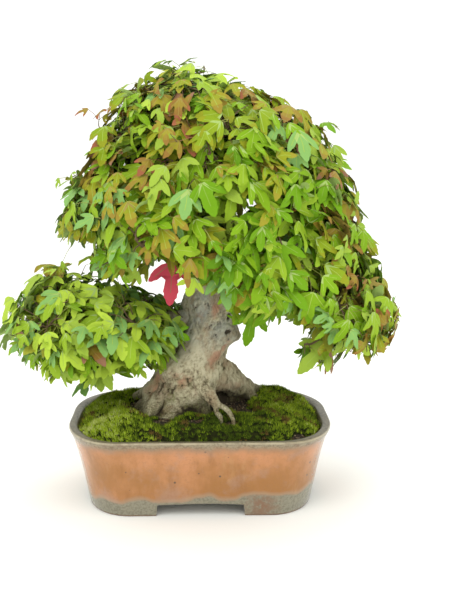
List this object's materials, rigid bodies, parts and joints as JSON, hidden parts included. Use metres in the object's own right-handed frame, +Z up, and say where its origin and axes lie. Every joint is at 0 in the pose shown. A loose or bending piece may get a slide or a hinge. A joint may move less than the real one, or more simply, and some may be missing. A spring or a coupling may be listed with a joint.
{
  "type": "potted maple bonsai tree",
  "caption": "Trident maple bonsai with a flared, leaning trunk and a domed crown over one low side branch, growing from a mossy mound in a footed, glazed, rounded rectangular pot.",
  "frame": {"origin": "on the surface that the pot stands on, under the middle of the whole tree's box", "axes": "+Z up, +X to the right in the front view along the pot's long side, +Y to the back"},
  "size_m": [0.4384, 0.2946, 0.4878],
  "materials": {
    "glaze": "gloss",
    "soil": "rough grains",
    "moss": "matte",
    "bark": "rough",
    "leaf": "satin"
  },
  "bodies": {
    "root": {"bough_lower_left_inner": "bark", "bough_lower_left_outer": "bark", "bough_lower_right_back": "bark", "bough_lower_right_front": "bark", "bough_middle_back": "bark", "bough_middle_front_left": "bark", "bough_middle_front_right": "bark", "bough_middle_left": "bark", "bough_middle_right": "bark", "bough_upper_back": "bark", "bough_upper_front": "bark", "bough_upper_left": "bark", "bough_upper_right": "bark", "leaves_apex": "leaf", "leaves_lower_left_inner": "leaf", "leaves_lower_left_outer": "leaf", "leaves_lower_right_back": "leaf", "leaves_lower_right_front": "leaf", "leaves_middle_back": "leaf", "leaves_middle_front_left": "leaf", "leaves_middle_front_right": "leaf", "leaves_middle_left": "leaf", "leaves_middle_right": "leaf", "leaves_upper_back": "leaf", "leaves_upper_front": "leaf", "leaves_upper_left": "leaf", "leaves_upper_right": "leaf", "moss_back": "moss", "moss_front": "moss", "moss_left": "moss", "moss_right": "moss", "pot": "glaze", "soil": "soil", "trunk": "bark"}
  },
  "joints": []
}
